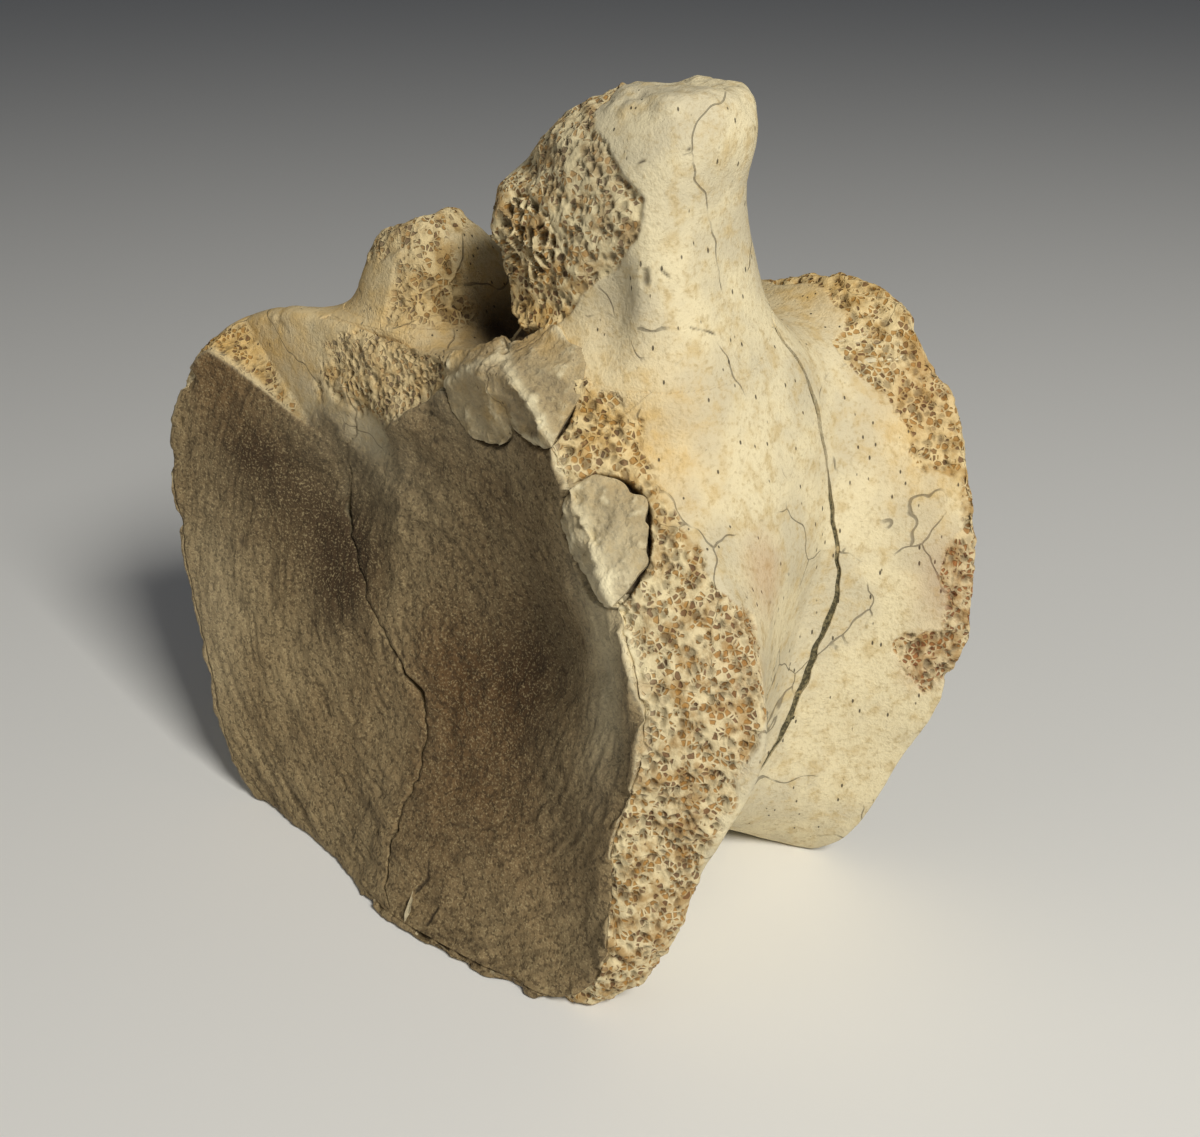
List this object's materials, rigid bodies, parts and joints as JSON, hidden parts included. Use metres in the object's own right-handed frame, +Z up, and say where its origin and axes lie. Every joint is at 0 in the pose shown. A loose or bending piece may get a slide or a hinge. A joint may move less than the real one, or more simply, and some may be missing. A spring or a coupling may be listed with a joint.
{
  "type": "fossil hadrosaur vertebra",
  "caption": "Weathered fossil dorsal vertebra: spool-shaped centrum dished at both ends, one tall broken pedicle, one stub, open neural canal.",
  "frame": {"origin": "on the floor, under the middle of the bounding box", "axes": "+Y runs along the spine from the near dished end to the far one, +X is across to the side that shows its crack, +Z is up"},
  "size_m": [0.1466, 0.0832, 0.1417],
  "materials": {
    "cortical_bone": "matt, weathered, fine pits",
    "spongy_bone": "rough, open pores, rust stained",
    "face_plate": "matt, granular, fine fibres"
  },
  "bodies": {
    "root": {"centrum_front": "cortical_bone", "centrum_rear": "cortical_bone", "pedicle_right": "cortical_bone", "pedicle_left": "spongy_bone", "rim_flake_upper": "face_plate", "rim_flake_side": "face_plate"}
  },
  "joints": []
}
